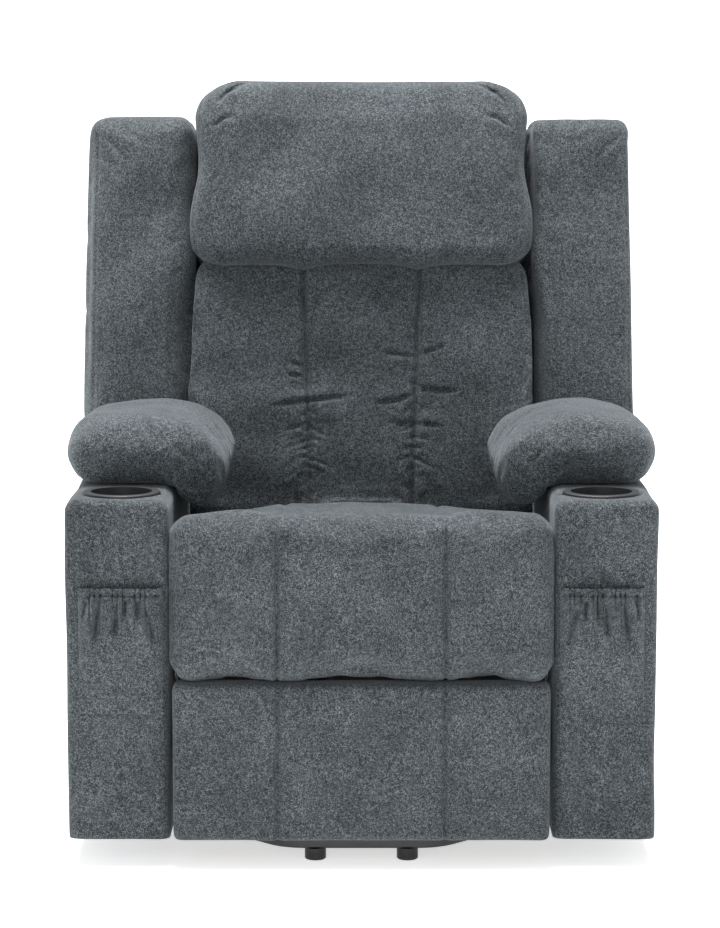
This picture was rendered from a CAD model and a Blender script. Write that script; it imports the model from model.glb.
"""Looks for the lift recliner chair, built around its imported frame. Metres, +Z up, the sitter faces -Y."""
from math import cos, radians, sin

import bpy
import numpy as np
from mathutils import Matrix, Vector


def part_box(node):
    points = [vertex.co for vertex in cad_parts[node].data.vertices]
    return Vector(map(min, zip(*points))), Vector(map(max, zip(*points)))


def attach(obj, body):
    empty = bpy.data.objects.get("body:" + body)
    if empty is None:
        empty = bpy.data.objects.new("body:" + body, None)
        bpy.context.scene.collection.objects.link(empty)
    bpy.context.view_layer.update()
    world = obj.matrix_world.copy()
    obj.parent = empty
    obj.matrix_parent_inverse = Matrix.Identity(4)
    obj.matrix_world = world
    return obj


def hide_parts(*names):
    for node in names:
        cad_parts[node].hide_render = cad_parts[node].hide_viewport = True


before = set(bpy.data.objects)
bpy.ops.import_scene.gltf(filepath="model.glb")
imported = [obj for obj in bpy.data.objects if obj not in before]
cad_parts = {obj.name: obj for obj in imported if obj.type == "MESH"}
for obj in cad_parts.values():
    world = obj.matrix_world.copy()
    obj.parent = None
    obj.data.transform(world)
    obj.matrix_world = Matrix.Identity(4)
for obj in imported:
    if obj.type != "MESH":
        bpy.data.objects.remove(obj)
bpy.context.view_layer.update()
scene = bpy.context.scene

# ---------------------------------------------------------------------------------------------
# Studio: a long lens at sitting height in front of the chair, a pale floor that turns up into a
# backdrop far behind, one large soft front light, a top light and two weak side lights.
# ---------------------------------------------------------------------------------------------
camera_height = 1.102
camera_distance = 4.625
camera_pitch = radians(7.24)

lens = bpy.data.cameras.new("front_camera")
lens.sensor_fit = "VERTICAL"
lens.sensor_height = 36.0
lens.lens = 119.4
camera = bpy.data.objects.new("front_camera", lens)
camera.location = (-0.002, -camera_distance, camera_height)
camera.rotation_euler = (radians(90) - camera_pitch, 0, 0)
scene.collection.objects.link(camera)
scene.camera = camera
scene.view_settings.view_transform = "Standard"


def linear(hex_colour):
    """A linear RGBA from an sRGB hex colour: each channel is raised to 2.4 after its toe is removed."""
    channels = np.array([int(hex_colour[i:i + 2], 16) / 255 for i in (0, 2, 4)])
    low = channels / 12.92
    high = ((channels + 0.055) / 1.055) ** 2.4
    return (*np.where(channels <= 0.04045, low, high), 1.0)


class Nodes:
    """A material's node tree, with one short call to add a node and link its inputs."""

    def __init__(self, name):
        self.material = bpy.data.materials.new(name)
        self.material.use_nodes = True
        self.tree = self.material.node_tree
        self.shader = self.tree.nodes["Principled BSDF"]

    def add(self, kind, inputs=None, **settings):
        """A node of this kind; inputs give a socket's value, or the (node, output) that feeds it."""
        node = self.tree.nodes.new(kind)
        for key, value in settings.items():
            setattr(node, key, value)
        for key, value in (inputs or {}).items():
            self.feed(node, key, value)
        return node

    def feed(self, node, key, value):
        """Set a socket to a constant, or link it to a (node, output) pair."""
        if isinstance(value, tuple) and isinstance(value[0], bpy.types.Node):
            self.tree.links.new(value[0].outputs[value[1]], node.inputs[key])
        else:
            node.inputs[key].default_value = value

    def tint(self, colour, shade):
        """The output of a colour multiplied by a shade, each a constant or a (node, output) pair."""
        inputs = {"Fac": 1.0, "Color1": colour, "Color2": shade}
        return self.add("ShaderNodeMixRGB", inputs, blend_type="MULTIPLY"), "Color"

    def finish(self, inputs):
        """Feed the shader and give the material back."""
        for key, value in inputs.items():
            self.feed(self.shader, key, value)
        return self.material


def studio_light(name, place, target, size, power):
    """A square area light of this size that faces a target."""
    data = bpy.data.lights.new(name, "AREA")
    data.shape = "SQUARE"
    data.size = size
    data.energy = power
    light = bpy.data.objects.new(name, data)
    place, target = np.array(place), np.array(target)
    light.location = place
    away = place - target
    flat = np.hypot(away[0], away[1])
    light.rotation_euler = (np.arctan2(flat, away[2]), 0, np.arctan2(away[0], -away[1]))
    scene.collection.objects.link(light)
    return light


def mesh_piece(name, points, faces, material, smooth=True):
    """A mesh object from point and face arrays, placed by its own vertices."""
    mesh = bpy.data.meshes.new(name)
    mesh.from_pydata(points.tolist(), [], faces.tolist())
    mesh.materials.append(material)
    mesh.polygons.foreach_set("use_smooth", np.full(len(mesh.polygons), smooth))
    mesh.update()
    piece = bpy.data.objects.new(name, mesh)
    scene.collection.objects.link(piece)
    return piece


def grid_faces(rows, columns):
    """Quads of a rows x columns grid of points."""
    corner = np.arange((rows - 1) * columns).reshape(rows - 1, columns)[:, :-1].ravel()
    return np.stack([corner, corner + 1, corner + columns + 1, corner + columns], axis=1)


# pale studio paper: matt and faintly glowing, so that it stays plain white behind the chair
paper = Nodes("pale_studio_paper")
grain = paper.add("ShaderNodeTexNoise", {"Scale": 6.0, "Detail": 2.0})
paper_bump = paper.add("ShaderNodeBump", {"Strength": 0.02, "Height": (grain, "Fac")})
studio_paper = paper.finish({
    "Base Color": linear("fafafa"), "Roughness": 0.9, "Specular IOR Level": 0.1,
    "Emission Color": linear("ffffff"), "Emission Strength": 0.60, "Normal": (paper_bump, "Normal"),
})
# the sweep: a flat floor from far in front of the camera, then a quarter turn up behind the chair
floor_start, floor_end, floor_half_width, sweep_radius = -36, 4, 32, 2
sweep_rows, sweep_columns = 60, 30
flat_share = 0.6  # of the rows, the rest make the turn
run = np.linspace(0, 1, sweep_rows)
turn = (run - flat_share) / 0.4 * np.pi / 2
depth = np.where(run < flat_share, floor_start + run / flat_share * (floor_end - floor_start),
                 floor_end + sweep_radius * np.sin(turn))
rise = np.where(run < flat_share, 0, sweep_radius - sweep_radius * np.cos(turn))
across = np.linspace(-floor_half_width, floor_half_width, sweep_columns)
sweep_points = np.stack([
    np.repeat(across[None, :], sweep_rows, 0), np.repeat(depth[:, None], sweep_columns, 1),
    np.repeat(rise[:, None], sweep_columns, 1),
], axis=-1).reshape(-1, 3)
mesh_piece("studio_floor", sweep_points, grid_faces(sweep_rows, sweep_columns), studio_paper)

world = bpy.data.worlds.new("studio_world")
world.use_nodes = True
world.node_tree.nodes["Background"].inputs["Color"].default_value = (1, 1, 1, 1)
world.node_tree.nodes["Background"].inputs["Strength"].default_value = 0.42
scene.world = world
# name, place, target, size in metres, power in watts
studio_light("front_softbox", (-0.6, -4.0, 1.6), (0, 0, 0.45), 2.0, 38)
studio_light("top_softbox", (-0.3, 0.35, 5.0), (0, 0, 0.5), 2.4, 520)
studio_light("left_fill", (-3.2, -0.8, 1.8), (0, 0, 0.6), 1.8, 10)
studio_light("right_fill", (3.2, -0.8, 1.8), (0, 0, 0.6), 1.8, 10)

# ---------------------------------------------------------------------------------------------
# Cloth: a short-pile chenille in slate blue-grey. Light and dark yarn ends give a fine
# salt-and-pepper fleck, and the pile lies in soft lighter and darker patches.
# ---------------------------------------------------------------------------------------------
cloth_dark = "1b1f22"
cloth_mid = "3a3f42"
cloth_light = "64696c"
fleck_size = 0.0014  # metres; yarn ends are finer, but this is the finest that shows
patch_size = 0.11  # metres across a patch of brushed pile


def chenille(name):
    """Short-pile cloth: two noises through a three-colour ramp for the fleck, toned by soft patches."""
    cloth = Nodes(name)
    where = (cloth.add("ShaderNodeTexCoord"), "Object")
    fleck = cloth.add("ShaderNodeTexNoise", {
        "Vector": where, "Scale": 1 / fleck_size, "Detail": 2.0, "Roughness": 0.6,
    })
    yarn = cloth.add("ShaderNodeTexNoise", {
        "Vector": where, "Scale": 0.33 / fleck_size, "Detail": 2.0, "Roughness": 0.7,
    })
    patch = cloth.add("ShaderNodeTexNoise", {
        "Vector": where, "Scale": 1 / patch_size, "Detail": 3.0, "Roughness": 0.55,
    })
    smudge = cloth.add("ShaderNodeTexNoise", {
        "Vector": where, "Scale": 6 / patch_size, "Detail": 3.0, "Roughness": 0.65,
    })
    mixed = cloth.add("ShaderNodeMath", {0: (yarn, "Fac"), 1: 0.45, 2: (fleck, "Fac")},
                      operation="MULTIPLY_ADD")
    centred = cloth.add("ShaderNodeMapRange", {"Value": (mixed, "Value"), "From Min": 0.56, "From Max": 0.90})
    ramp = cloth.add("ShaderNodeValToRGB", {"Fac": (centred, "Result")})
    stops = ramp.color_ramp.elements
    stops[0].position, stops[0].color = 0.05, linear(cloth_dark)
    stops[1].position, stops[1].color = 0.95, linear(cloth_light)
    middle = stops.new(0.5)
    middle.color = linear(cloth_mid)
    tone = cloth.add("ShaderNodeMath", {0: (patch, "Fac"), 1: 0.55}, operation="MULTIPLY")
    tones = cloth.add("ShaderNodeMath", {0: (smudge, "Fac"), 1: 0.45, 2: (tone, "Value")},
                      operation="MULTIPLY_ADD")
    level = cloth.add("ShaderNodeMapRange", {
        "Value": (tones, "Value"), "From Min": 0.36, "From Max": 0.64, "To Min": 0.78, "To Max": 1.24,
    })
    pile = cloth.add("ShaderNodeBump", {"Strength": 0.5, "Distance": 0.0008, "Height": (mixed, "Value")})
    nap = cloth.add("ShaderNodeBump", {
        "Strength": 0.2, "Distance": 0.003, "Height": (smudge, "Fac"), "Normal": (pile, "Normal"),
    })
    return cloth.finish({
        "Base Color": cloth.tint((ramp, "Color"), (level, "Result")), "Roughness": 0.88,
        "Specular IOR Level": 0.15, "Normal": (nap, "Normal"),
        "Sheen Weight": 0.25, "Sheen Roughness": 0.5, "Sheen Tint": linear("c4ccd1"),
    })


# soft, matt and speckled, a little paler where it turns away from the eye
upholstery = chenille("slate_chenille")


def rounded_box(low, high, cell, radius):
    """Points and quads of a closed box with rounded edges.

    Each lattice point of the box's surface is pulled to the box that is smaller by the radius, then
    pushed out again by the radius along the same direction.
    """
    low, high = np.array(low, float), np.array(high, float)
    counts = np.maximum(np.round((high - low) / cell).astype(int), 2)
    quads = []
    for axis in range(3):
        first, second = (axis + 1) % 3, (axis + 2) % 3
        i, j = np.meshgrid(np.arange(counts[first]), np.arange(counts[second]), indexing="ij")
        i, j = i.ravel(), j.ravel()
        ring = [(i, j), (i + 1, j), (i + 1, j + 1), (i, j + 1)]
        for end in (0, counts[axis]):
            quad = np.zeros((len(i), 4, 3), int)
            for k, (a, b) in enumerate(ring if end else ring[::-1]):
                quad[:, k, axis] = end
                quad[:, k, first] = a
                quad[:, k, second] = b
            quads.append(quad)
    corners = np.concatenate(quads)
    lattice, index = np.unique(corners.reshape(-1, 3), axis=0, return_inverse=True)
    half = (high - low) / 2
    flat = (2 * lattice / counts - 1) * half
    radius = min(radius, half.min() * 0.98)
    inner = np.clip(flat, radius - half, half - radius)
    outward = flat - inner
    outward /= np.linalg.norm(outward, axis=1)[:, None]
    return inner + radius * outward + (low + high) / 2, index.reshape(-1, 4)


def waves(points, length, seed, count=14):
    """Smooth unevenness between about -1 and 1: a sum of sine waves of this length in seeded directions."""
    rng = np.random.default_rng(seed)
    directions = rng.normal(size=(count, points.shape[1]))
    directions /= np.linalg.norm(directions, axis=1)[:, None]
    lengths = length * rng.uniform(0.7, 1.5, count)
    phases = rng.uniform(0, 2 * np.pi, count)
    return np.sin(points @ (directions * 2 * np.pi / lengths[:, None]).T + phases).sum(1) / np.sqrt(count)


def step(value, start, end):
    """0 before start, 1 after end, and smooth between: 3t^2 - 2t^3."""
    t = np.clip((value - start) / (end - start), 0, 1)
    return t * t * (3 - 2 * t)


def groove(distance, width):
    """A rounded valley: 1 on its line, e to the minus square of distance over width away from it."""
    return np.exp(-(distance / width) ** 2)


def crease(across, up, path, width, sharp=0.35):
    """A crease along a bent line of points: a narrow valley with a low rounded ridge above it.

    The valley is a Gaussian of the distance to the nearest segment; it fades at both ends of the line.
    """
    path = np.array(path, float)
    lengths = np.hypot(*np.diff(path, axis=0).T)
    total, before = lengths.sum(), 0.0
    best = np.full(len(across), 1e9)
    signed, run_on = np.zeros(len(across)), np.zeros(len(across))
    for start, end, length in zip(path[:-1], path[1:], lengths):
        along = (end - start) / length
        dx, dz = across - start[0], up - start[1]
        t = np.clip(dx * along[0] + dz * along[1], 0, length)
        away = np.hypot(dx - t * along[0], dz - t * along[1])
        near = away < best
        best = np.where(near, away, best)
        signed = np.where(near, dx * -along[1] + dz * along[0], signed)
        run_on = np.where(near, (before + t) / total, run_on)
        before += length
    fade = step(run_on, 0.0, 0.3) * (1 - step(run_on, 0.55, 1.0))
    ridge = 0.35 * groove(signed - width, width) * (best < 4 * width)
    return (groove(best, width * sharp) - ridge) * fade


def press_creases(points, push, width, creases, mirror=1):
    """Press creases into a piece along Y.

    The push is the signed depth at each point. A crease is its share of that depth and its bent line in
    (across, up), and a mirror of -1 puts it on the left.
    """
    for share, path in creases:
        points[:, 1] += push * share * crease(points[:, 0] * mirror, points[:, 2], path, width)


def inflate(piece, sewn, cap, pressure=4.0, slack=0.0, frames=20):
    """Press on a stuffed piece as cloth, with its seams held, then keep that shape.

    A point moves no further than the cap: its move is cap * tanh(move / cap). The pressure follows the
    faces: a piece swells if they point outwards when this is called, and is drawn in if they don't yet.
    """
    mesh = piece.data
    before = np.empty(len(mesh.vertices) * 3)
    mesh.vertices.foreach_get("co", before)
    before = before.reshape(-1, 3)
    held = piece.vertex_groups.new(name="sewn")
    for weight in (0.25, 0.5, 0.75, 1.0):
        chosen = np.flatnonzero((sewn > weight - 0.125) & (sewn <= weight + 0.125))
        held.add(chosen.tolist(), weight, "REPLACE")
    cloth = piece.modifiers.new("Cloth", "CLOTH")
    cloth.settings.quality = 4
    cloth.settings.mass = 0.3
    cloth.settings.tension_stiffness = 12
    cloth.settings.compression_stiffness = 12
    cloth.settings.shear_stiffness = 4
    cloth.settings.bending_stiffness = 0.3
    cloth.settings.shrink_min = -slack
    cloth.settings.use_pressure = True
    cloth.settings.uniform_pressure_force = pressure
    cloth.settings.vertex_group_mass = "sewn"
    cloth.settings.effector_weights.gravity = 0
    cloth.point_cache.frame_end = frames
    for number in range(1, frames + 1):
        scene.frame_set(number)
    evaluated = piece.evaluated_get(bpy.context.evaluated_depsgraph_get())
    after = np.empty(len(mesh.vertices) * 3)
    evaluated.data.vertices.foreach_get("co", after)
    piece.modifiers.remove(cloth)
    piece.vertex_groups.clear()
    scene.frame_set(1)
    move = after.reshape(-1, 3) - before
    length = np.linalg.norm(move, axis=1)[:, None] + 1e-9
    mesh.vertices.foreach_set("co", (before + move * cap * np.tanh(length / cap) / length).ravel())
    mesh.update()


def points_of(piece):
    """A mesh piece's points as an array."""
    flat = np.empty(len(piece.data.vertices) * 3)
    piece.data.vertices.foreach_get("co", flat)
    return flat.reshape(-1, 3)


def place_points(piece, points):
    """Put new points into a mesh piece."""
    piece.data.vertices.foreach_set("co", points.ravel())
    piece.data.update()


def refine(piece):
    """Subdivide a piece once and keep the finer mesh, so that seams and creases can be cut into it."""
    divide = piece.modifiers.new("Subdivision", "SUBSURF")
    divide.levels = divide.render_levels = 1
    fine = bpy.data.meshes.new_from_object(piece.evaluated_get(bpy.context.evaluated_depsgraph_get()))
    piece.modifiers.clear()
    piece.data = fine
    return points_of(piece)


def soft_piece(piece, body, nodes):
    """Tie a finished stuffed piece to its body, its CAD nodes and the record's cloth."""
    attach(piece, body)
    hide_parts(*nodes)


# ---------------------------------------------------------------------------------------------
# Seat: a stuffed front roll that falls to the footrest in three sewn panels, and a crowned slab
# behind it. Foam and fibre in chenille, stapled to the wooden frame underneath.
# ---------------------------------------------------------------------------------------------
seat_low, seat_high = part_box("seat_cushion")
seat_half = 0.2662
seat_seam_x = 0.117
roll_depth = 0.098  # front to back
roll_limit = 0.2668  # half width that the swollen sides are held to, between the arms
pucker_pitch = 0.036  # of the stapled side seams


def seat_panels(x, width=0.005):
    """1 on the two sewn seams of the seat, 0 between them."""
    return groove(np.abs(x) - seat_seam_x, width)


roll_points, roll_faces = rounded_box(
    (-seat_half, seat_low[1] + 0.008, seat_low[2] - 0.003),
    (seat_half, seat_low[1] + roll_depth, seat_high[2] - 0.006), 0.0055, 0.030)
seat_roll = mesh_piece("seat_front_roll", roll_points, roll_faces, upholstery)
roll_rest = points_of(seat_roll)
inflate(seat_roll, seat_panels(roll_rest[:, 0]) * step(-roll_rest[:, 1], 0.38, 0.42), 0.007, slack=0.02)
p = refine(seat_roll)
front = step(-p[:, 1], 0.39, 0.43)
top_side = step(p[:, 2], 0.47, 0.49)
# a little narrower at the top, and puckered down both side seams
p[:, 0] *= 1 - 0.006 * step(p[:, 2], 0.40, 0.49)
near_side = np.sign(p[:, 0]) * step(np.abs(p[:, 0]), 0.25, 0.262)
p[:, 0] += near_side * 0.0012 * np.sin(p[:, 2] * 2 * np.pi / pucker_pitch)
p[:, 0] = np.clip(p[:, 0], -roll_limit, roll_limit)
# the sewn seams are cut deepest, then the cloth's own unevenness
p[:, 1] += 0.0080 * seat_panels(p[:, 0], 0.0033) * front - 0.0026 * front * waves(p[:, [0, 2]], 0.16, 3)
p[:, 2] += top_side * (0.0015 * waves(p[:, :2], 0.12, 5) - 0.0015 * seat_panels(p[:, 0]))
press_creases(p, front * 0.0036, 0.009, [(1, path) for path in (
    [(-0.250, 0.300), (-0.215, 0.312), (-0.165, 0.300)], [(-0.117, 0.330), (-0.150, 0.352)],
    [(0.117, 0.315), (0.085, 0.300)], [(0.190, 0.285), (0.240, 0.312)], [(-0.255, 0.440), (-0.262, 0.375)],
    [(0.118, 0.385), (0.150, 0.378)], [(0.06, 0.275), (0.0, 0.290), (-0.05, 0.283)],
)])
# the front face stays clear of the footrest, and its lower edge droops over it
p[:, 1] = np.maximum(p[:, 1], seat_low[1] - 0.002)
lower = 1 - step(p[:, 2], seat_low[2], seat_low[2] + 0.03)
p[:, 2] -= lower * step(-p[:, 1], 0.40, 0.43) * 0.0075
# the underside rises towards the rear, over the control links of a reclined back
p[:, 2] += lower * step(p[:, 1], -0.415, -0.375) * 0.018
place_points(seat_roll, p)
soft_piece(seat_roll, "chair", ["seat_cushion"])

slab_bottom, slab_edge, slab_crown = 0.348, 0.424, 0.024
slab_points, slab_faces = rounded_box(
    (-seat_half + 0.001, seat_low[1] + roll_depth - 0.016, slab_bottom),
    (seat_half - 0.001, seat_high[1] - 0.002, slab_edge), 0.008, 0.026)
seat_slab = mesh_piece("seat_slab", slab_points, slab_faces, upholstery)
p = refine(seat_slab)
u = p[:, 0] / seat_half
top_side = step(p[:, 2], 0.39, slab_edge)
unevenness = 0.0015 * waves(p[:, :2], 0.11, 8)
p[:, 2] += top_side * (slab_crown * (1 - u ** 2) + unevenness - 0.003 * seat_panels(p[:, 0]))
# it rises at its front to meet the back of the roll
p[:, 2] += top_side * 0.022 * step(-p[:, 1], 0.30, 0.36)
place_points(seat_slab, p)
soft_piece(seat_slab, "chair", ["seat_cushion"])

# ---------------------------------------------------------------------------------------------
# Footrest: a flat padded board in three sewn panels that hangs under the seat's front roll when
# closed. Thin foam in chenille that wraps the board's edges and is stapled behind.
# ---------------------------------------------------------------------------------------------
pad_low, pad_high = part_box("footrest_pad")
board_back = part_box("footrest_board")[1][1]
foot_seam_x = 0.116
foot_points, foot_faces = rounded_box(
    (pad_low[0], pad_low[1] + 0.005, pad_low[2]),
    (pad_high[0], board_back - 0.002, pad_high[2]), 0.006, 0.010)
foot_pad = mesh_piece("footrest_cushion", foot_points, foot_faces, upholstery)
p = refine(foot_pad)
u, w = p[:, 0] / pad_high[0], (p[:, 2] - pad_low[2]) / (pad_high[2] - pad_low[2]) * 2 - 1
front = step(-p[:, 1], 0.425, 0.437)
crown = (1 - u ** 4) * (1 - w ** 4)
p[:, 1] -= front * (0.0045 * crown + 0.0014 * waves(p[:, [0, 2]], 0.10, 11)
                    - 0.0072 * groove(np.abs(p[:, 0]) - foot_seam_x, 0.0034))
press_creases(p, front * 0.0032, 0.008, [(1, path) for path in (
    [(-0.255, 0.060), (-0.225, 0.078), (-0.175, 0.082)], [(-0.250, 0.100), (-0.222, 0.112)],
    [(0.255, 0.055), (0.215, 0.080)], [(0.116, 0.110), (0.150, 0.130)], [(-0.116, 0.235), (-0.092, 0.190)],
)])
place_points(foot_pad, p)
soft_piece(foot_pad, "footrest", ["footrest_pad"])

# ---------------------------------------------------------------------------------------------
# Back: everything on it leans back 14 degrees. A point is given by how far forward of the wooden
# frame it lies and how far up the slope, and is turned into the chair's Y and Z here.
# ---------------------------------------------------------------------------------------------
lean = radians(14.0)
back_foot = (0.200, 0.348)


def on_back(across, forward, along):
    """Chair coordinates of points on the leaning back: a turn by the lean about the back frame's foot."""
    y = back_foot[0] + along * sin(lean) - forward * cos(lean)
    z = back_foot[1] + along * cos(lean) + forward * sin(lean)
    return np.stack([across, y, z], axis=1)


def lean_box(low, high, cell, radius):
    """A rounded box in (across, forward, along), whose faces point outwards only once on_back has turned it.

    Until then they point inwards, so inflate draws the lumbar cushion and the pillow in a little.
    """
    points, faces = rounded_box(low, high, cell, radius)
    return points, faces[:, ::-1]


# ---------------------------------------------------------------------------------------------
# Lumbar cushion: one wide fibre-filled cushion sewn through in two upright lines, so that it
# swells in three channels. Its cover has spare cloth, which wrinkles across the seams low down.
# ---------------------------------------------------------------------------------------------
channel_x = 0.090
lumbar_top = 0.452


def channel(x, along):
    """Signed distance from the nearer of the two sewn lines, which draw together towards the seat."""
    return np.abs(x) - (channel_x - 0.010 * step(0.45 - along, 0.0, 0.4))


def pleats(x, along):
    """Short slanting pleats on both sides of the sewn lines, between the seat and half height.

    Narrow peaks of a cosine of the height less the distance from the line, faded away from the line.
    """
    away = channel(x, along)
    quarter = 2 * np.sign(x) + np.sign(away)
    slant = along + 0.50 * np.abs(away) + 0.007 * np.sin(along * 61 + 3 * quarter)
    ridge = np.clip(np.cos(2 * np.pi * slant / (0.0185 + 0.0012 * quarter)), 0, 1) ** 4
    reach = 0.032 + 0.016 * np.sin(along * 137 + quarter)
    strength = 0.65 + 0.35 * np.sin(along * 83 + 5 * quarter)
    fade = (1 - step(np.abs(away), 0.0, reach)) * step(along, 0.07, 0.11) * (1 - step(along, 0.17, 0.25))
    return ridge * strength * fade


lumbar_points, lumbar_faces = lean_box((-0.268, 0.003, 0.036), (0.268, 0.116, lumbar_top), 0.0052, 0.032)
lumbar = mesh_piece("lumbar_cushion_cover", lumbar_points, lumbar_faces, upholstery)
rest = points_of(lumbar)
front = step(rest[:, 1], 0.06, 0.10)
sewn_line = groove(channel(rest[:, 0], rest[:, 2]), 0.006) * front
rest[:, 1] -= 0.007 * groove(channel(rest[:, 0], rest[:, 2]), 0.014) * front
place_points(lumbar, rest)
inflate(lumbar, np.maximum(sewn_line, 1 - step(rest[:, 1], 0.01, 0.03)), 0.012, slack=0.05)
p = refine(lumbar)
front = step(p[:, 1], 0.06, 0.105)
# wider low down in front, narrower at the top, with the upper edge scalloped by the sewn lines
p[:, 0] *= 1 + 0.030 * front * (1 - step(p[:, 2], 0.26, 0.43))
p[:, 0] *= 1 - 0.018 * step(p[:, 2], 0.36, 0.45)
p[:, 2] += 0.007 * step(p[:, 2], 0.41, 0.44) * (1 - groove(channel(p[:, 0], p[:, 2]), 0.03))
p[:, 1] += front * 0.0022 * waves(p[:, [0, 2]], 0.13, 21)
# each channel is rounded, with a stitched line in a shallow valley, pleats and an edge seam
from_line = channel(p[:, 0], p[:, 2])
p[:, 1] += front * 0.004 * np.cos(np.clip(from_line / 0.085, -1, 1) * np.pi / 2 + np.pi / 2) ** 2
p[:, 1] -= front * (0.0095 * groove(from_line, 0.0034) + 0.0035 * groove(from_line, 0.012))
p[:, 1] -= front * 0.0050 * pleats(p[:, 0], p[:, 2])
p[:, 1] -= front * 0.0018 * groove(np.abs(p[:, 0]) - 0.250, 0.0026)
# the foot of the cushion falls away behind the seat
p[:, 1] -= front * 0.012 * (1 - step(p[:, 2], 0.06, 0.15)) * (1 - (p[:, 0] / 0.27) ** 4)
press_creases(p, front * -0.0056, 0.0095, (
    (1.0, [(0.090, 0.298), (0.055, 0.301), (0.024, 0.303)]),
    (0.9, [(0.092, 0.302), (0.112, 0.308), (0.137, 0.318)]),
    (0.9, [(0.090, 0.244), (0.120, 0.243), (0.158, 0.244)]),
    (1.0, [(-0.149, 0.218), (-0.087, 0.227), (-0.002, 0.236)]),
    (0.9, [(0.018, 0.222), (0.060, 0.229), (0.090, 0.241)]), (0.7, [(-0.118, 0.268), (-0.088, 0.266)]),
    (0.6, [(-0.112, 0.287), (-0.089, 0.283)]), (0.5, [(0.070, 0.347), (0.092, 0.339)]),
    (0.5, [(0.092, 0.190), (0.130, 0.186)]), (0.6, [(0.050, 0.186), (0.088, 0.196)]),
    (0.6, [(-0.087, 0.190), (-0.125, 0.180)]),
))
place_points(lumbar, on_back(*p.T))
soft_piece(lumbar, "backrest", ["lumbar_cushion"])

# ---------------------------------------------------------------------------------------------
# Head pillow: a soft pillow that bulges over the lumbar cushion and laps back over the top rail.
# Its lower edge follows the three channels and its top corners are round, with short gathers.
# ---------------------------------------------------------------------------------------------
pillow_low, pillow_top = 0.430, 0.7465
corner_round = 0.062


def pillow_half(along):
    """Half width up the pillow: a narrow foot, a Gaussian bulge, then a quarter circle at the top."""
    half = 0.2535 + 0.019 * np.exp(-((along - 0.515) / 0.085) ** 2) - 0.012 * (1 - step(along, 0.425, 0.465))
    half = half + 0.0095 * step(along, 0.58, 0.66)
    into = np.clip(along - (pillow_top - corner_round), 0, corner_round * 0.985)
    return half - corner_round + np.sqrt(corner_round ** 2 - into ** 2)


pillow_points, pillow_faces = lean_box((-0.25, 0.004, pillow_low), (0.25, 0.137, pillow_top), 0.0055, 0.036)
pillow_points[:, 0] *= pillow_half(pillow_points[:, 2]) / 0.25
pillow = mesh_piece("head_pillow_cover", pillow_points, pillow_faces, upholstery)
rest = points_of(pillow)
inflate(pillow, 1 - step(rest[:, 1], 0.01, 0.03), 0.006, slack=0.02)
p = refine(pillow)
front = step(p[:, 1], 0.05, 0.12)
# the top laps back over the frame and the rear cover
lap = step(p[:, 2], 0.713, 0.722) * (1 - step(p[:, 1], 0.0, 0.10))
p[:, 1] -= lap * 0.080
# fullest below the middle, drawn back at the top, scalloped below, with a seam round the front
swell = 1 - ((p[:, 2] - 0.53) / 0.25) ** 2
p[:, 1] += front * (0.011 * swell * (1 - (p[:, 0] / 0.30) ** 4) + 0.0025 * waves(p[:, [0, 2]], 0.15, 31))
p[:, 1] -= front * 0.020 * step(p[:, 2], 0.66, 0.75)
p[:, 2] += (1 - step(p[:, 2], 0.44, 0.50)) * 0.008 * (1 - groove(np.abs(p[:, 0]) - channel_x, 0.028))
p[:, 1] -= front * 0.0022 * groove(np.abs(p[:, 0]) - pillow_half(p[:, 2]) + 0.010, 0.0028)
for side in (-1, 1):
    press_creases(p, front * -0.0060, 0.0100, (
        (1.0, [(0.236, 0.655), (0.214, 0.672), (0.192, 0.678)]),
        (0.9, [(0.232, 0.690), (0.212, 0.716), (0.180, 0.733)]),
        (0.6, [(0.222, 0.708), (0.196, 0.728), (0.160, 0.739)]), (0.5, [(0.240, 0.56), (0.222, 0.585)]),
        (0.5, [(0.205, 0.437), (0.222, 0.462), (0.246, 0.482)]),
        (0.5, [(0.090, 0.437), (0.088, 0.462), (0.080, 0.485)]),
    ), side)
place_points(pillow, on_back(*p.T))
soft_piece(pillow, "backrest", ["head_pillow"])

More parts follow.
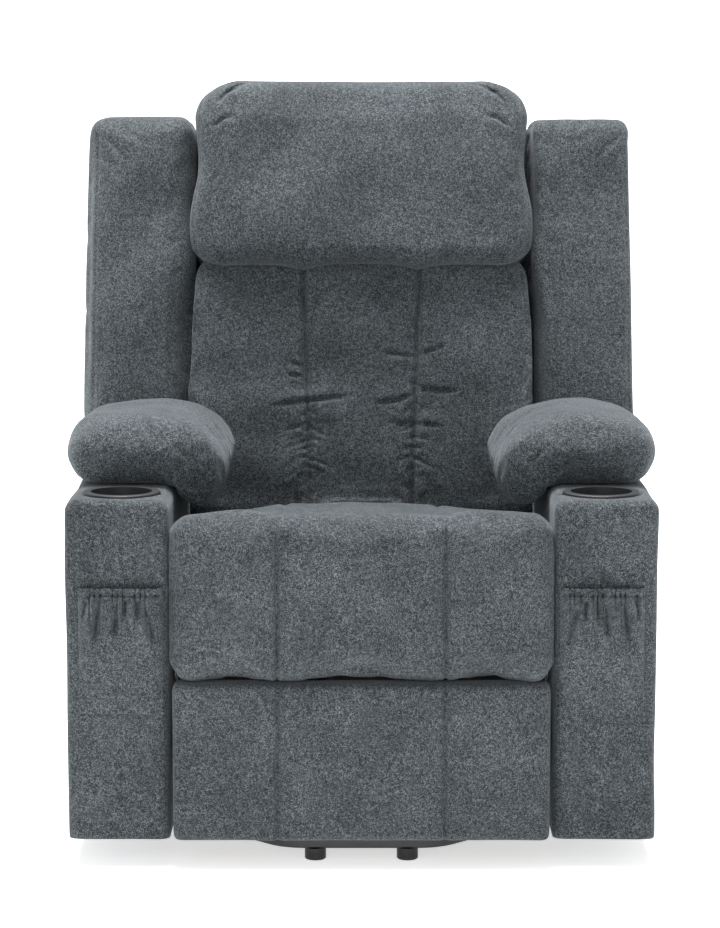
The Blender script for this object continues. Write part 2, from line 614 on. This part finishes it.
# ---------------------------------------------------------------------------------------------
# Wings: a padded wing on each side of the back, a board wrapped in foam and chenille and strapped
# to the back frame. The cloth is drawn into short folds round the outer top corner.
# ---------------------------------------------------------------------------------------------
for hand, side in (("left", -1), ("right", 1)):
    wing_low, wing_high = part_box(f"wing_{hand}")
    inner, outer = sorted(abs(v) for v in (wing_low[0], wing_high[0]))
    wing_points, wing_faces = rounded_box(
        (inner + 0.003, -0.043, wing_low[2] + 0.002),
        (outer - 0.004, 0.100, wing_high[2] - 0.001), 0.0058, 0.022)
    wing = mesh_piece(f"wing_cover_{hand}", wing_points, wing_faces[:, ::-side], upholstery)
    # the right wing's faces still point inwards here: it is drawn in where the left one swells
    rest = points_of(wing)
    inflate(wing, 1 - step(rest[:, 1], -0.03, -0.01), 0.006, pressure=3.0, slack=0.03)
    p = refine(wing)
    front = step(p[:, 1], 0.05, 0.09)
    # the outer side draws in towards the top, and the inner side follows the lumbar cushion and the pillow
    taper = np.clip((p[:, 2] - 0.62) / 0.40, 0, 1) ** 2
    p[:, 0] -= step(p[:, 0], inner, outer) * (0.005 * taper)
    inner_side = 1 - step(p[:, 0], inner, inner + 0.05)
    gap = 0.012 * (1 - step(p[:, 2], 0.70, 0.80))
    p[:, 0] += inner_side * front * (gap - 0.008 * groove(p[:, 2] - 0.815, 0.035))
    # the front is rounded across and uneven, with a seam near the outer edge
    round_across = 0.006 * (1 - ((p[:, 0] - inner - 0.08) / 0.085) ** 2)
    p[:, 1] += front * (round_across + 0.002 * waves(p[:, [0, 2]], 0.14, 41 + side))
    p[:, 1] -= front * 0.0022 * groove(p[:, 0] - (outer - 0.018 - 0.004 * taper), 0.0026)
    press_creases(p, front * -0.0030, 0.0110, (
        (1.0, [(0.412, 1.008), (0.385, 0.985), (0.362, 0.955)]), (0.8, [(0.414, 0.985), (0.392, 0.945)]),
        (0.7, [(0.380, 1.015), (0.345, 0.995), (0.318, 0.990)]), (0.5, [(0.418, 0.70), (0.385, 0.67)]),
        (0.5, [(0.280, 0.800), (0.305, 0.770)]), (0.5, [(0.282, 0.840), (0.310, 0.835)]),
        (0.4, [(0.415, 0.83), (0.380, 0.81)]),
    ))
    # Y is still distance in front of the frame here, and Z is height: only the slope is left to find
    along = (p[:, 2] - back_foot[1] - p[:, 1] * sin(lean)) / cos(lean)
    place_points(wing, on_back(side * p[:, 0], p[:, 1], along))
    soft_piece(wing, "backrest", [f"wing_{hand}"])

# ---------------------------------------------------------------------------------------------
# Rear cover: the outside back, a wide padded panel between the wings and a narrower tail that
# drops between the arms. Board and thin foam in chenille, with a seam down each side.
# ---------------------------------------------------------------------------------------------
foot_half, tail_half, wide_half = 0.2545, 0.2635, 0.421
rear_front, rear_back = -0.0487, -0.080
p, rear_faces = lean_box((-wide_half, rear_back, -0.013), (wide_half, rear_front, 0.698), 0.005, 0.014)
# narrow beside the mechanism, then up between the arms, then full width above them
width = foot_half + (tail_half - foot_half) * step(p[:, 2], 0.060, 0.085)
width += (wide_half - tail_half) * step(p[:, 2], 0.214, 0.226)
p[:, 0] *= width / wide_half
u, w = p[:, 0] / width, (p[:, 2] - 0.34) / 0.36
back = step(-p[:, 1], 0.06, 0.078)
p[:, 1] -= back * (0.006 * (1 - u ** 2) * (1 - w ** 4) + 0.0015 * waves(p[:, [0, 2]], 0.17, 51))
p[:, 1] += back * 0.003 * groove(np.abs(p[:, 0]) - 0.235, 0.004)
p[:, 1] = np.minimum(p[:, 1], rear_front)
rear_panel = mesh_piece("rear_panel_cover", on_back(*p.T), rear_faces, upholstery)
soft_piece(rear_panel, "backrest", ["rear_cover"])
# the same cloth is pulled forward over the top rail and the outsides of the stiles
for name, low, high in (
    ("rear_cloth_over_top_rail", (-0.2630, -0.060, 0.7008), (0.2630, 0.003, 0.7085)),
    ("rear_cloth_left_side", (-0.2632, -0.060, 0.085), (-0.2597, 0.006, 0.706)),
    ("rear_cloth_right_side", (0.2597, -0.060, 0.085), (0.2632, 0.006, 0.706)),
):
    wrap_points, wrap_faces = lean_box(low, high, 0.009, 0.0017)
    wrap = mesh_piece(name, on_back(*wrap_points.T), wrap_faces, upholstery)
    soft_piece(wrap, "backrest", ["rear_cover"])

# ---------------------------------------------------------------------------------------------
# Arms: boards covered in thin wadding and chenille, with a seam down the front near the outer
# edge. The cloth is cut away under the cup holder's flange.
# ---------------------------------------------------------------------------------------------
hem_fold = 0.014  # the box starts this far below the hem and is then cut flat, so the hem stays square
well_reach, rim_reach = 0.052, 0.0565  # of lattice points that go down the well, and that line its rim
well_radius, rim_radius = 0.0485, 0.0525  # where those points are drawn in to
for hand, side in (("left", -1), ("right", 1)):
    post_low, post_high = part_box(f"arm_cover_{hand}")
    cup_low, cup_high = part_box(f"cup_holder_{hand}")
    cup_x = abs(cup_low[0] + cup_high[0]) / 2
    cup_y = (cup_low[1] + cup_high[1]) / 2
    inner, outer = sorted(abs(v) for v in (post_low[0], post_high[0]))
    p, post_faces = rounded_box(
        (inner, post_low[1], post_low[2] - hem_fold), (outer, post_high[1], post_high[2]), 0.006, 0.017)
    p[:, 2] = np.maximum(p[:, 2], post_low[2])
    front = step(-p[:, 1], 0.405, 0.42)
    outside = step(p[:, 0], outer - 0.01, outer - 0.002)
    seam = groove(p[:, 0] - (outer - 0.015), 0.0030)
    p[:, 1] -= front * (0.0010 + 0.0010 * waves(p[:, [0, 2]], 0.13, 61 + side) - 0.0022 * seam)
    side_seam = groove(p[:, 1] + 0.405, 0.003)
    p[:, 0] += outside * (0.0010 + 0.0010 * waves(p[:, [1, 2]], 0.2, 63 + side) - 0.002 * side_seam)
    top = step(p[:, 2], post_high[2] - 0.004, post_high[2] - 0.001)
    reach = np.hypot(p[:, 0] - cup_x, p[:, 1] - cup_y) + 1e-9
    well = top * (reach < well_reach)
    rim = top * (reach >= well_reach) * (reach < rim_reach)
    target = np.where(well > 0, np.minimum(reach, well_radius), np.where(rim > 0, rim_radius, reach))
    p[:, 0] = cup_x + (p[:, 0] - cup_x) * target / reach
    p[:, 1] = cup_y + (p[:, 1] - cup_y) * target / reach
    p[:, 2] = np.where(well > 0, cup_low[2] - 0.004, p[:, 2])
    p[:, 0] *= side
    post = mesh_piece(f"arm_cover_cloth_{hand}", p, post_faces[:, ::side], upholstery)
    soft_piece(post, "chair", [f"arm_cover_{hand}"])

# ---------------------------------------------------------------------------------------------
# Arm pads: a soft pad laid over each arm, thick in the middle and drooping over the inner edge
# towards the seat. Its front end is closed with a sewn panel that creases as the pad bends.
# ---------------------------------------------------------------------------------------------
arm_inner, arm_top = 0.262, 0.5188  # the cloth of the arm under the pad
# the pad's cross-section, from the outer foot over the top and down to the drooping inner lip
pad_section = np.array([
    (0.33, 0.519), (0.37, 0.519), (0.402, 0.52), (0.419, 0.538), (0.4265, 0.564), (0.418, 0.59),
    (0.39, 0.606), (0.34, 0.614), (0.295, 0.614), (0.25, 0.606), (0.218, 0.588), (0.198, 0.562),
    (0.193, 0.534), (0.199, 0.506), (0.215, 0.486), (0.232, 0.486), (0.248, 0.499), (0.26, 0.512),
    (0.278, 0.519), (0.3, 0.519),
])
spine = np.array([0.300, 0.556])  # the middle of the section, which the ends are drawn in to


def section_at(turn):
    """The cross-section at a share of a full turn: a smooth closed curve through its points, by length."""
    ring = np.vstack([pad_section[-3:], pad_section, pad_section[:3]])
    lengths = np.concatenate([[0], np.cumsum(np.hypot(*np.diff(ring, axis=0).T))])
    start, end = lengths[3], lengths[3 + len(pad_section)]
    fine = np.linspace(0, lengths[-1], 1200)
    curve = np.stack([np.interp(fine, lengths, ring[:, k]) for k in range(2)], 1)
    kernel = np.hanning(61) / np.hanning(61).sum()
    curve = np.stack([np.convolve(curve[:, k], kernel, mode="same") for k in range(2)], 1)
    where = start + np.mod(turn, 1) * (end - start)
    return np.stack([np.interp(where, fine, curve[:, k]) for k in range(2)], 1)


for hand, side in (("left", -1), ("right", 1)):
    pad_low, pad_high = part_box(f"arm_pad_{hand}")
    pad_front, pad_back = pad_low[1] + 0.012, pad_high[1] - 0.006
    # a plain lattice box, whose square cross-section is then wrapped on to the pad's section
    box_points, pad_faces = rounded_box((-0.10, pad_front, -0.05), (0.10, pad_back, 0.05), 0.0052, 0.0001)
    s, t = box_points[:, 0] / 0.10, box_points[:, 2] / 0.05
    share = np.maximum(np.abs(s), np.abs(t))
    # the share of a turn round the square, from the middle of its lower side outwards
    around = np.where(np.abs(t) >= np.abs(s),
                      np.where(t < 0, s / share / 8, 0.5 - s / share / 8),
                      np.where(s > 0, 0.25 + t / share / 8, 0.75 - t / share / 8))
    ring = section_at(around)
    length = pad_back - pad_front
    y01 = (box_points[:, 1] - pad_front) / length
    from_end = np.minimum(y01, 1 - y01) * length
    end_round = np.where(y01 < 0.5, 0.075, 0.030)  # the front end is rounder than the rear one
    shrink = 1 - 0.34 * (1 - np.sqrt(1 - (1 - np.clip(from_end / end_round, 0, 1)) ** 2))
    # the foot of the pad stays down on the arm, so only the part above the spine is drawn in fully
    drawn = np.where(ring[:, 1] > spine[1], shrink, 1 - 0.25 * (1 - shrink))
    x = spine[0] + (ring[:, 0] - spine[0]) * share * (1 - 0.6 * (1 - shrink))
    z = spine[1] + (ring[:, 1] - spine[1]) * share * drawn
    cap = (from_end < 1e-6) * (1 - share ** 2)
    y = box_points[:, 1] + np.where(y01 < 0.5, -1, 1) * cap * 0.020
    pad = mesh_piece(f"arm_pad_cover_{hand}", np.stack([x, y, z], 1), pad_faces, upholstery)
    rest = points_of(pad)
    inflate(pad, 1 - step(rest[:, 2], 0.521, 0.528), 0.007, pressure=4.0, slack=0.06)
    p = refine(pad)
    high = step(p[:, 2], 0.53, 0.58)
    p[:, 2] -= high * (0.010 * step(p[:, 1], -0.22, 0.06) + 0.006 * step(p[:, 1], 0.04, 0.09))
    p[:, 2] += high * 0.0020 * waves(p, 0.11, 71 + side)
    front = step(-p[:, 1], 0.255, 0.283)
    press_creases(p, front * 0.0060, 0.0085, (
        (1.0, [(0.300, 0.560), (0.292, 0.548), (0.272, 0.540)]), (0.7, [(0.262, 0.575), (0.240, 0.552)]),
        (0.6, [(0.245, 0.530), (0.226, 0.512)]), (0.6, [(0.262, 0.535), (0.243, 0.516), (0.236, 0.503)]),
        (0.5, [(0.330, 0.545), (0.356, 0.536)]), (0.5, [(0.380, 0.560), (0.402, 0.545)]),
    ))
    # the drooping lip is gathered finely where it is stapled
    lip = (1 - step(p[:, 0], 0.235, 0.26)) * (1 - step(p[:, 2], 0.50, 0.56))
    p[:, 0] += lip * 0.0014 * np.sin((p[:, 1] + 0.4 * p[:, 2]) * 2 * np.pi / 0.021)
    # no point sinks into the arm: the pad lies on its top and hangs down its inner face
    over_board = (p[:, 0] > arm_inner) & (p[:, 0] < 0.404)
    p[:, 2] = np.where(over_board, np.maximum(p[:, 2], arm_top), p[:, 2])
    p[:, 0] = np.where((p[:, 2] < arm_top) & (p[:, 0] > arm_inner), arm_inner, p[:, 0])
    p[:, 0] *= side
    place_points(pad, p)
    if side < 0:
        pad.data.flip_normals()
    soft_piece(pad, "chair", [f"arm_pad_{hand}"])

# ---------------------------------------------------------------------------------------------
# Pockets: a pouch on the front of each arm, one panel of chenille sewn down on three sides, its
# top hemmed over elastic so that the cloth gathers into folds that fade out below.
# ---------------------------------------------------------------------------------------------
elastic_band = 0.010  # height of the hem that holds the elastic
gather_pitch = 0.0102
pouch_rows, pouch_columns = 190, 170
pouch_depth_least, pouch_depth_most = 0.0019, 0.0242
long_folds = (  # lines in (across, up) of the folds that reach below the gathers
    ((0.3607, 0.386), (0.372, 0.312)), ((0.3373, 0.382), (0.342, 0.325)), ((0.302, 0.38), (0.284, 0.305)),
    ((0.325, 0.386), (0.327, 0.35)), ((0.312, 0.386), (0.308, 0.345)), ((0.378, 0.388), (0.386, 0.345)),
)
for hand, side in (("left", -1), ("right", 1)):
    pouch_low, pouch_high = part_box(f"pocket_{hand}")
    inner, outer = sorted(abs(v) for v in (pouch_low[0], pouch_high[0]))
    u, v = np.meshgrid(np.linspace(-1, 1, pouch_columns), np.linspace(0, 1, pouch_rows))
    u, v = u.ravel(), v.ravel()
    height = pouch_high[2] - pouch_low[2]
    x = (inner + outer) / 2 + u * (outer - inner) / 2
    z = pouch_low[2] + v * height
    below = pouch_high[2] - z
    edge = 1 - np.abs(u) ** 6
    # the pouch swells below its mouth, and the elastic draws the mouth in
    bulge = 0.0026 + edge * 0.015 * np.sin(np.pi * np.clip(v * 0.60 + 0.02, 0, 1)) ** 0.7
    bulge -= edge * 0.005 * step(v, 0.86, 0.97)
    # gathers of uneven pitch run down from the elastic and fade at uneven lengths
    phase = x / gather_pitch + 0.35 * np.sin(x * 190 + side)
    gathers = np.abs(np.sin(np.pi * phase)) ** 0.7 - 0.5
    reach = 0.020 + 0.009 * np.sin(x * 310 + 2 * side)
    fade = np.exp(-np.clip(below - elastic_band, 0, None) / reach)
    fade *= step(below, elastic_band * 0.4, elastic_band)
    bulge += edge * (0.0125 * gathers * fade + 0.0030 * gathers * (1 - step(below, 0, elastic_band)))
    bulge -= edge * 0.0050 * groove(below - elastic_band, 0.0020)
    for path in long_folds:
        bulge -= edge * 0.0140 * crease(x, z, path, 0.0095, sharp=0.45)
    bulge += edge * 0.0012 * waves(np.stack([x, z], 1), 0.05, 81 + side)
    y = pouch_high[1] - np.clip(bulge, pouch_depth_least, pouch_depth_most)
    z = z + 0.0018 * gathers * step(v, 0.96, 1.0)
    pouch_faces = grid_faces(pouch_rows, pouch_columns)[:, ::side]
    pouch = mesh_piece(f"front_pocket_{hand}", np.stack([side * x, y, z], 1), pouch_faces, upholstery)
    wall = pouch.modifiers.new("Solidify", "SOLIDIFY")
    wall.thickness = 0.0017
    wall.offset = -1
    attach(pouch, "chair")
    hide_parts(f"pocket_{hand}")

# ---------------------------------------------------------------------------------------------
# Hard parts keep their CAD shape. Cup holders, motor housings and the power supply are moulded
# black plastic with a fine spark-eroded texture.
# ---------------------------------------------------------------------------------------------


def moulded_plastic(name, colour, texture=0.0006):
    """Matt moulded plastic: fine grain in bump and roughness, with faint cloudiness in its colour."""
    plastic = Nodes(name)
    where = (plastic.add("ShaderNodeTexCoord"), "Object")
    fine = plastic.add("ShaderNodeTexNoise", {"Vector": where, "Scale": 1 / texture, "Detail": 2.0})
    cloud = plastic.add("ShaderNodeTexNoise", {"Vector": where, "Scale": 14.0, "Detail": 3.0})
    shade = plastic.add("ShaderNodeMapRange", {"Value": (cloud, "Fac"), "To Min": 0.8, "To Max": 1.25})
    rough = plastic.add("ShaderNodeMapRange", {"Value": (fine, "Fac"), "To Min": 0.38, "To Max": 0.6})
    bump = plastic.add("ShaderNodeBump", {"Strength": 0.25, "Distance": 0.0004, "Height": (fine, "Fac")})
    base = plastic.tint(linear(colour), (shade, "Result"))
    return plastic.finish({"Base Color": base, "Roughness": (rough, "Result"), "Normal": (bump, "Normal")})


def dress(material, *nodes):
    """Give these CAD nodes one material in place of their own."""
    for node in nodes:
        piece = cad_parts[node]
        piece.data.materials.clear()
        piece.data.materials.append(material)


# satin black with a fine grain, which catches a thin light line round the cup holders' rims
dress(moulded_plastic("black_moulded_plastic", "232426"), "cup_holder_left", "cup_holder_right")
# a shade darker, for the housings under the seat
dress(moulded_plastic("motor_housing_plastic", "1c1d1f"), "lift_motor", "recline_motor", "power_supply")

# ---------------------------------------------------------------------------------------------
# Steelwork: the base, lift arms, links and brackets are tube and plate in black powder coat, with
# bright zinc-plated pins, bolts and springs, and drawn steel rods.
# ---------------------------------------------------------------------------------------------


def powder_coat(name, colour):
    """Powder coat over steel: orange-peel bump a few millimetres across and faint scuffs in the gloss."""
    coat = Nodes(name)
    where = (coat.add("ShaderNodeTexCoord"), "Object")
    peel = coat.add("ShaderNodeTexNoise", {"Vector": where, "Scale": 420.0, "Detail": 2.0})
    scuff = coat.add("ShaderNodeTexNoise", {"Vector": where, "Scale": 30.0, "Detail": 5.0, "Roughness": 0.7})
    rough = coat.add("ShaderNodeMapRange", {"Value": (scuff, "Fac"), "To Min": 0.28, "To Max": 0.55})
    shade = coat.add("ShaderNodeMapRange", {"Value": (scuff, "Fac"), "To Min": 0.85, "To Max": 1.3})
    bump = coat.add("ShaderNodeBump", {"Strength": 0.2, "Distance": 0.0005, "Height": (peel, "Fac")})
    return coat.finish({
        "Base Color": coat.tint(linear(colour), (shade, "Result")), "Roughness": (rough, "Result"),
        "Metallic": 0.0, "Coat Weight": 0.2, "Normal": (bump, "Normal"),
    })


def plated_steel(name, colour, rough_low, rough_high):
    """Plated steel: fine brushed streaks in roughness and bump."""
    steel = Nodes(name)
    where = (steel.add("ShaderNodeTexCoord"), "Object")
    stretch = steel.add("ShaderNodeMapping", {"Vector": where, "Scale": (40.0, 900.0, 900.0)})
    streak = steel.add("ShaderNodeTexNoise", {"Vector": (stretch, "Vector"), "Scale": 1.0, "Detail": 3.0})
    rough = steel.add("ShaderNodeMapRange", {
        "Value": (streak, "Fac"), "To Min": rough_low, "To Max": rough_high,
    })
    bump = steel.add("ShaderNodeBump", {"Strength": 0.1, "Distance": 0.0003, "Height": (streak, "Fac")})
    return steel.finish({
        "Base Color": linear(colour), "Metallic": 1.0, "Roughness": (rough, "Result"),
        "Normal": (bump, "Normal"),
    })


# near-black paint with broken highlights along the tubes and plates
dress(powder_coat("black_powder_coat", "1b1c1e"), "base_frame", "base_bracket_left", "base_bracket_right",
      "lift_arm_left", "lift_arm_right", "lift_torque_tube", "guide_links", "side_plate_left", "side_plate_right",
      "lift_motor_hanger", "recline_motor_hanger", "back_bracket_left", "back_bracket_right", "back_bar",
      "thigh_links", "control_links", "shin_links", "tie_links", "footrest_brackets", "wing_straps")
# small bright points at the joints
dress(plated_steel("zinc_plated_steel", "b9bcbf", 0.25, 0.45), "base_pivot_pins", "pivot_pins_left",
      "pivot_pins_right", "arm_bolts", "seat_springs")
# a sharper, brighter streak down the motors' rods
dress(plated_steel("drawn_rod_steel", "c9cacb", 0.14, 0.3), "lift_rod", "recline_rod")

# ---------------------------------------------------------------------------------------------
# Feet: short round pads of black rubber under the base tube, with a dull, slightly dusty face.
# ---------------------------------------------------------------------------------------------
# the blackest of the parts, with a coarser grain than the plastics
dress(moulded_plastic("foot_rubber", "141415", 0.0012), "base_feet")

# ---------------------------------------------------------------------------------------------
# Frame timber: planed hardwood and plywood, with grain along Y in the seat rails and arm boards.
# ---------------------------------------------------------------------------------------------


def timber(name, pale, dark):
    """Planed hardwood: stretched noise for the grain between a pale and a dark colour."""
    wood = Nodes(name)
    where = (wood.add("ShaderNodeTexCoord"), "Object")
    stretch = wood.add("ShaderNodeMapping", {"Vector": where, "Scale": (70.0, 6.0, 70.0)})
    figure = wood.add("ShaderNodeTexNoise", {
        "Vector": (stretch, "Vector"), "Scale": 1.0, "Detail": 6.0, "Distortion": 0.6,
    })
    ramp = wood.add("ShaderNodeValToRGB", {"Fac": (figure, "Fac")})
    stops = ramp.color_ramp.elements
    stops[0].position, stops[0].color = 0.35, linear(dark)
    stops[1].position, stops[1].color = 0.65, linear(pale)
    bump = wood.add("ShaderNodeBump", {"Strength": 0.2, "Distance": 0.0006, "Height": (figure, "Fac")})
    return wood.finish({"Base Color": (ramp, "Color"), "Roughness": 0.6, "Normal": (bump, "Normal")})


# warm pale wood, seen only in the gaps and from below
dress(timber("planed_hardwood", "c9a676", "9a7446"), "seat_frame", "arm_frame_left", "arm_frame_right",
      "back_frame", "footrest_board")

# ---------------------------------------------------------------------------------------------
# Webbing and lining: woven elastic straps across the back frame, and the black lining cloth that
# is stapled across the rear below the back.
# ---------------------------------------------------------------------------------------------


def woven(name, colour, thread):
    """Plain weave: two crossed sine bands of one thread's width in colour and bump."""
    cloth = Nodes(name)
    where = (cloth.add("ShaderNodeTexCoord"), "Object")
    warp = cloth.add("ShaderNodeTexWave", {"Vector": where, "Scale": 0.16 / thread, "Distortion": 0.6},
                     bands_direction="X")
    weft = cloth.add("ShaderNodeTexWave", {"Vector": where, "Scale": 0.16 / thread, "Distortion": 0.6},
                     bands_direction="Z")
    both = cloth.add("ShaderNodeMath", {0: (warp, "Fac"), 1: (weft, "Fac")}, operation="MULTIPLY")
    shade = cloth.add("ShaderNodeMapRange", {"Value": (both, "Value"), "To Min": 0.6, "To Max": 1.3})
    base = cloth.tint(linear(colour), (shade, "Result"))
    bump = cloth.add("ShaderNodeBump", {"Strength": 0.4, "Distance": thread / 2, "Height": (both, "Value")})
    return cloth.finish({"Base Color": base, "Roughness": 0.9, "Normal": (bump, "Normal")})


# dull buff straps with a visible weave
dress(woven("elastic_webbing", "9c9078", 0.0015), "back_webbing")
# a flat black sheet that closes the rear below the back
dress(woven("black_lining_cloth", "232427", 0.0009), "rear_valance")
